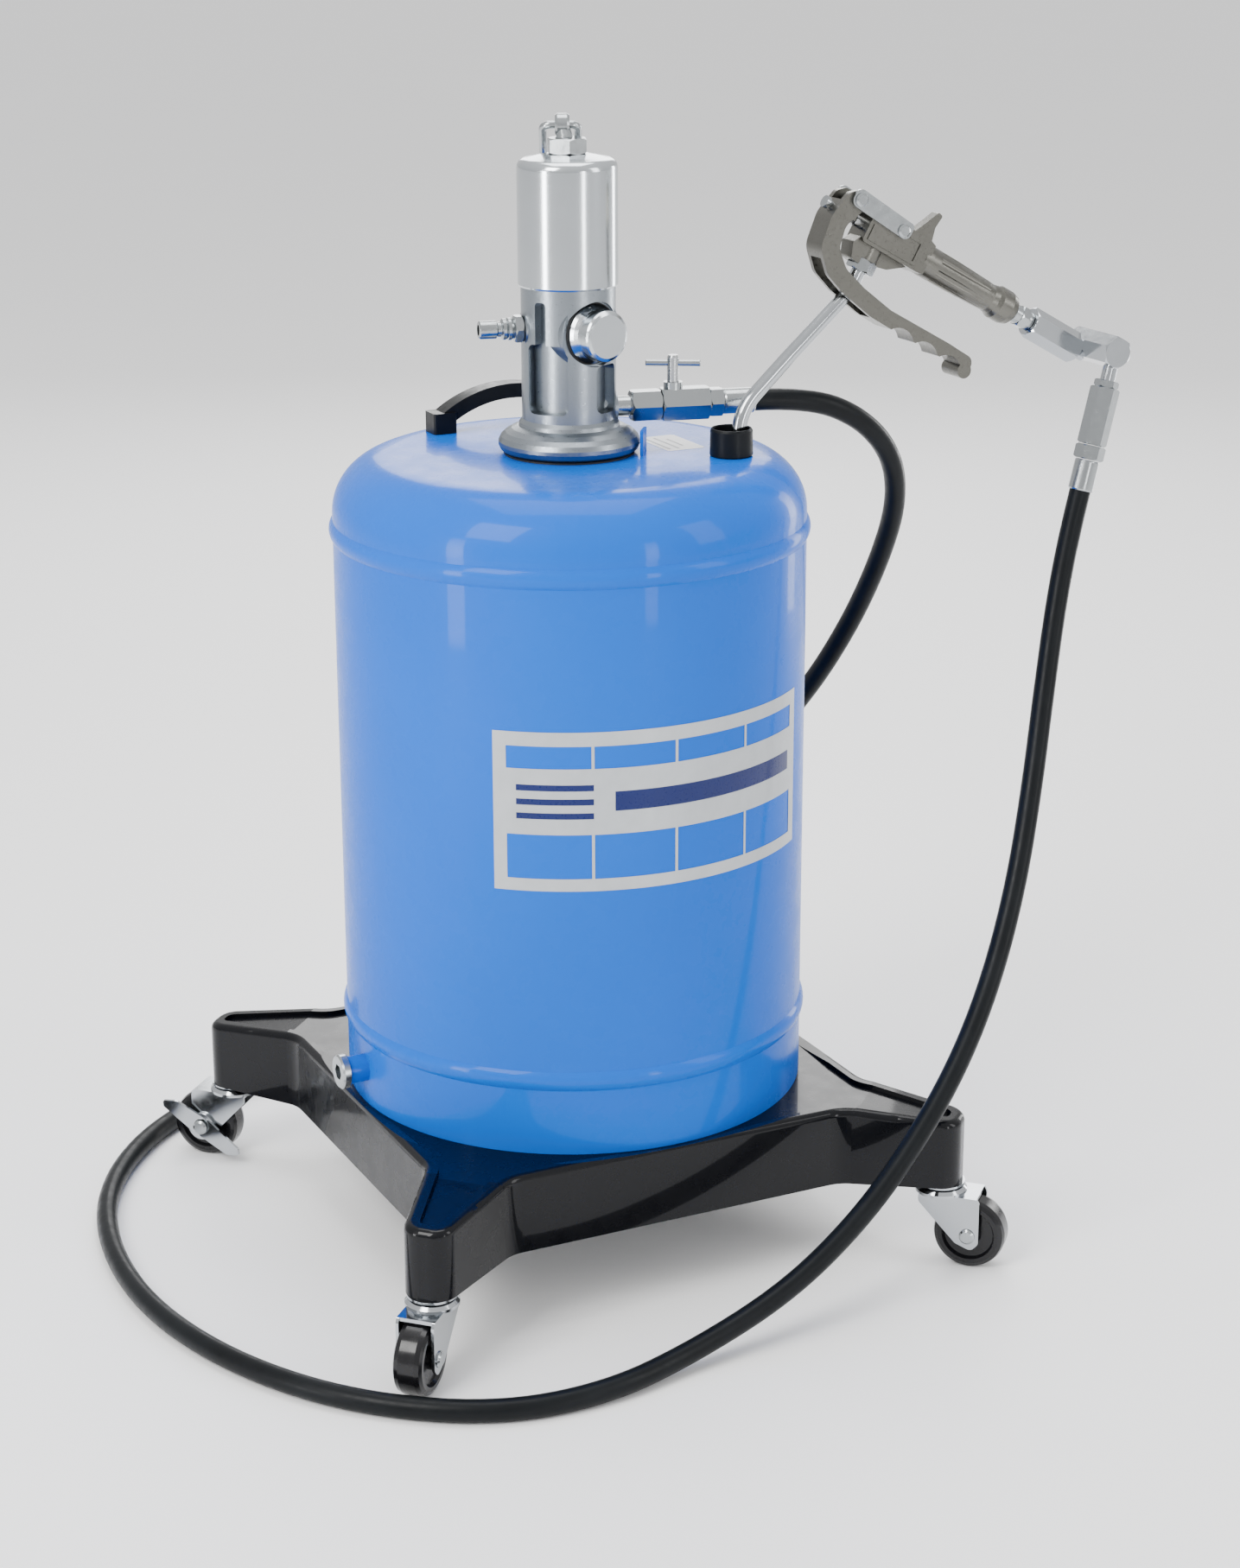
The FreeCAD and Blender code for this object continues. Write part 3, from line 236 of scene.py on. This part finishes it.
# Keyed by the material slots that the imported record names.
MATERIALS = {
    "black_paint": enamel("black_enamel", BLACK, 0.02, 0.025, 0.04, 0.30, 0.08),
    "blue_paint": enamel("blue_enamel", BLUE, 0.02, 0.010, 0.05, 0.14, 0.04),
    "chrome": bare_metal("chrome_plate", (0.42, 0.44, 0.46), 0.13, 160.0, 0.02, 0.08),
    "zinc": bare_metal("zinc_plate", (0.36, 0.38, 0.39), 0.22, 240.0, 0.05, 0.12),
    "steel": bare_metal("ground_steel", (0.42, 0.43, 0.44), 0.26, 60.0, 0.06, 0.12, GRINDING_LINES),
    "cast_aluminium": bare_metal("cast_aluminium", (0.235, 0.26, 0.285), 0.33, 520.0, 0.22, 0.14),
    "polished_aluminium": bare_metal("turned_aluminium", (0.52, 0.55, 0.575), 0.17, 30.0, 0.04, 0.08,
                                     LATHE_LINES),
    "gun_aluminium": bare_metal("gun_casting", (0.135, 0.132, 0.118), 0.32, 460.0, 0.20, 0.14),
    "wheel_black": moulded("wheel_plastic", (0.005, 0.005, 0.006), 0.22, 300.0, 0.03, 0.3, 0.2),
    "black_rubber": moulded("hose_rubber", (0.005, 0.006, 0.007), 0.36, 700.0, 0.15, 0.0, 0.12),
    "black_plastic": moulded("handle_plastic", (0.005, 0.0055, 0.0065), 0.34, 600.0, 0.12, 0.0, 0.2),
    "seal": moulded("nitrile_seal", (0.014, 0.014, 0.014), 0.5, 500.0, 0.1),
}

slots = {part["node"]: part["material_slot"] for part in frame["record"]["subparts"]}
for name, node in frame["nodes"].items():
    node.data.materials.clear()
    node.data.materials.append(MATERIALS[slots[name]])
curve.materials.append(MATERIALS["black_rubber"])


# ---- printed panel on the drum ----------------------------------------------------------------
def mesh_piece(name, bm, material):
    """A printed piece that rides on the base body, with the given print material."""
    mesh = bpy.data.meshes.new(name)
    bmesh.ops.recalc_face_normals(bm, faces=bm.faces)
    bm.to_mesh(mesh)
    bm.free()
    mesh.materials.append(material)
    piece = shown(name, mesh)
    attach(piece, "base")


def on_drum(angle, z, radius):
    """A point on a cylinder about the drum's axis; the angle is from the front, in degrees."""
    turn = math.radians(angle)
    return (radius * math.sin(turn), -radius * math.cos(turn), z)


def film(bm, a0, a1, z0, z1, radius, thick=0.00012):
    """A thin curved patch on the drum's side, between two angles and two heights."""
    degrees_per_step = 1.5
    steps = max(2, int(abs(a1 - a0) / degrees_per_step))
    rows = []
    for i in range(steps + 1):
        a = a0 + (a1 - a0) * i / steps
        rows.append([bm.verts.new(on_drum(a, z, r)) for r, z in
                     ((radius, z0), (radius, z1), (radius + thick, z1), (radius + thick, z0))])
    for i in range(steps):
        for k in range(4):
            bm.faces.new((rows[i][k], rows[i][(k + 1) % 4], rows[i + 1][(k + 1) % 4], rows[i + 1][k]))
    bm.faces.new(rows[0])
    bm.faces.new(rows[-1][::-1])


PANEL_HALF = 43.5                         # degrees each side of the front
PANEL_LOW, PANEL_HIGH = 0.298, 0.4055
PANEL_R, INK_LIFT = 0.16015, 0.00014      # the film's inner radius, and the ink's lift from it
BORDER, RIB_HALF = 3.2, 0.35              # the panel's side borders and half its ribs, in degrees
z = (PANEL_LOW, PANEL_LOW + 0.0085, PANEL_LOW + 0.0385,
     PANEL_HIGH - 0.0245, PANEL_HIGH - 0.0095, PANEL_HIGH)
SOLID_ROWS = ((z[0], z[1]), (z[2], z[3]), (z[4], z[5]))
WINDOW_ROWS = ((z[1], z[2]), (z[3], z[4]))

bm = bmesh.new()
for low, high in SOLID_ROWS:
    film(bm, -PANEL_HALF, PANEL_HALF, low, high, PANEL_R)
for low, high in WINDOW_ROWS:
    film(bm, -PANEL_HALF, -PANEL_HALF + BORDER, low, high, PANEL_R)
    film(bm, PANEL_HALF - BORDER, PANEL_HALF, low, high, PANEL_R)
    for k in (-1, 0, 1):
        centre = k * (PANEL_HALF - BORDER) / 2
        film(bm, centre - RIB_HALF, centre + RIB_HALF, low, high, PANEL_R)
mesh_piece("side_panel", bm, print_ink("silver_print", (0.40, 0.42, 0.44), 0.25, 0.35))

# Plain bars in the middle band: one thick, three thin. Each is two angles and two heights.
middle = (z[2] + z[3]) / 2
THICK_BAR, THIN_BARS = (-15.0, 39.0), (-38.0, -20.0)
bm = bmesh.new()
film(bm, *THICK_BAR, middle - 0.0065, middle + 0.0065, PANEL_R + INK_LIFT)
for low, high in ((-0.0115, -0.0075), (-0.002, 0.002), (0.0075, 0.0115)):
    film(bm, *THIN_BARS, middle + low, middle + high, PANEL_R + INK_LIFT)
mesh_piece("side_panel_bars", bm, print_ink("navy_print", (0.003, 0.010, 0.085), 0.0, 0.3))


# ---- blank label on the lid -------------------------------------------------------------------
def slab(bm, place, size):
    bmesh.ops.create_cube(bm, size=1.0, matrix=Matrix.Translation(place) @ Matrix.Diagonal((*size, 1.0)))


LABEL_X, LABEL_Y, LABEL_Z = 0.074, -0.0045, 0.55405
LABEL_SIZE, LABEL_CORNER = (0.028, 0.049, 0.0002), 0.0015
LABEL_BARS = ((0.064, 0.038), (0.0705, 0.038), (0.077, 0.024))     # each bar's x and length

bm = bmesh.new()
slab(bm, (LABEL_X, LABEL_Y, LABEL_Z), LABEL_SIZE)
upright = [e for e in bm.edges if abs(e.verts[0].co.z - e.verts[1].co.z) > 1e-5]
bmesh.ops.bevel(bm, geom=upright, offset=LABEL_CORNER, segments=3, affect="EDGES")
mesh_piece("top_label", bm, print_ink("label_paper", (0.60, 0.61, 0.62), 0.0, 0.45))
bm = bmesh.new()
for x, length in LABEL_BARS:
    slab(bm, (x, LABEL_Y, LABEL_Z + INK_LIFT), (0.0016, length, 0.0001))
mesh_piece("top_label_bars", bm, print_ink("grey_print", (0.12, 0.13, 0.15), 0.0, 0.45))


# ---- floor ----------------------------------------------------------------------------------
bm = bmesh.new()
bmesh.ops.create_grid(bm, x_segments=4, y_segments=4, size=60.0)
mesh = bpy.data.meshes.new("floor")
bm.to_mesh(mesh)
bm.free()
mesh.materials.append(floor_paint((0.95, 0.95, 0.955)))
shown("floor", mesh)


# ---- light ----------------------------------------------------------------------------------
# The world's grey by height: straight down, at the horizon and straight up.
SKY = ((0.0, (0.796, 0.796, 0.8)), (0.5, (0.68655, 0.68655, 0.69)), (1.0, (1.0, 1.0, 1.0)))

world = bpy.data.worlds.new("world")
world.use_nodes = True
tree = world.node_tree
coords = tree.nodes.new("ShaderNodeTexCoord")
split = tree.nodes.new("ShaderNodeSeparateXYZ")
height = tree.nodes.new("ShaderNodeMapRange")
height.inputs["From Min"].default_value = -1.0
greys = tree.nodes.new("ShaderNodeValToRGB")
fill_ramp(greys, SKY)
background = tree.nodes["Background"]
background.inputs["Strength"].default_value = 1.25
tree.links.new(coords.outputs["Generated"], split.inputs["Vector"])
tree.links.new(split.outputs["Z"], height.inputs["Value"])
tree.links.new(height.outputs["Result"], greys.inputs["Fac"])
tree.links.new(greys.outputs["Color"], background.inputs["Color"])
bpy.context.scene.world = world


def softbox(name, place, target, width, height, power, colour=(1, 1, 1), spread=180):
    """A rectangular lamp that shines at the target, with its beam's spread in degrees."""
    light = bpy.data.lights.new(name, "AREA")
    light.shape = "RECTANGLE"
    light.size = width
    light.size_y = height
    light.energy = power
    light.color = colour
    light.spread = math.radians(spread)
    lamp = shown(name, light)
    lamp.location = place
    aim(lamp, Vector(target) - Vector(place))
    lamp.visible_camera = False


softbox("key", (-2.2, -1.0, 2.4), (0, 0, 0.4), 1.2, 1.6, 88, colour=(1.0, 0.99, 0.97))
softbox("fill", (1.9, -2.0, 1.5), (0, 0, 0.4), 0.8, 1.8, 24)
softbox("top", (0.2, 0.4, 3.0), (0, 0, 0.4), 1.8, 1.8, 55)
softbox("rear", (1.2, 2.4, 1.6), (0, 0, 0.5), 1.4, 1.2, 30)

# Narrow upright lamps, near and level, which draw the bright lines on upright metal.
STRIP_Z, STRIP_HIGH, STRIP_SPREAD = 0.55, 0.9, 60
for name, x, y, width, power in (("strip_left", -1.42, -0.30, 0.22, 1.6),
                                 ("strip_front", 0.32, -1.52, 0.16, 0.6),
                                 ("strip_right", 1.40, 0.35, 0.22, 1.0)):
    softbox(name, (x, y, STRIP_Z), (0, 0, STRIP_Z), width, STRIP_HIGH, power, spread=STRIP_SPREAD)

bpy.context.view_layer.update()
